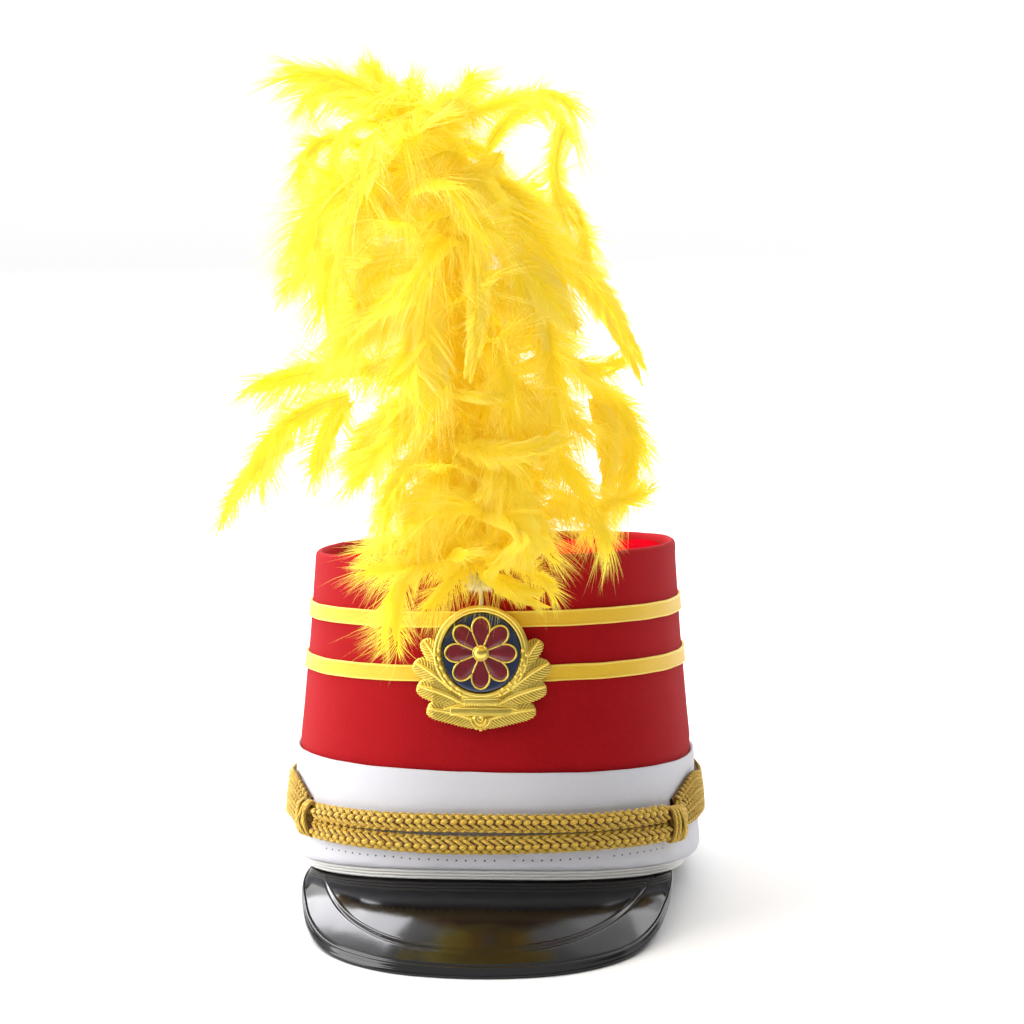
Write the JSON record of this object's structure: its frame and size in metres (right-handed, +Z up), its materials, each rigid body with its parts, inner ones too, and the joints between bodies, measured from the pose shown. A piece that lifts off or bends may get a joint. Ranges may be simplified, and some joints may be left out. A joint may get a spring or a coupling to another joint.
{
  "type": "marching band hat",
  "caption": "Tall cloth band hat with a glossy peak, plaited gold cords, a wreath badge and a feather plume.",
  "frame": {"origin": "on the surface the hat stands on, under the middle of its box", "axes": "+Z up, the peak towards -Y, +X to the right of someone who looks at the hat's front"},
  "size_m": [0.2092, 0.252, 0.3839],
  "materials": {
    "red_twill": "matt red woven cloth",
    "red_satin": "red satin, creased",
    "yellow_satin": "satin ribbon, yellow",
    "white_cloth": "matt white cloth",
    "white_vinyl": "white vinyl, satin sheen",
    "black_plastic": "moulded black plastic, polished",
    "gold_cord": "plaited gold rayon cord",
    "gold_metal": "gold plated cast metal",
    "blue_enamel": "dark blue enamel",
    "red_enamel": "red enamel",
    "stem_wire": "thin drawn wire",
    "white_fluff": "white down",
    "yellow_feather": "dyed yellow feathers"
  },
  "bodies": {
    "root": {"crown": "red_twill", "crown_top": "red_satin", "ribbon_upper": "yellow_satin", "ribbon_lower": "yellow_satin", "white_band": "white_cloth", "rim_binding": "white_vinyl", "visor": "black_plastic", "braid_front_upper": "gold_cord", "braid_front_lower": "gold_cord", "knot_left": "gold_cord", "knot_right": "gold_cord", "braid_back": "gold_cord", "badge_wreath": "gold_metal", "badge_field": "blue_enamel", "badge_rosette": "red_enamel", "badge_boss": "gold_metal", "plume_stem": "stem_wire", "plume_base": "white_fluff", "plume": "yellow_feather"}
  },
  "joints": []
}
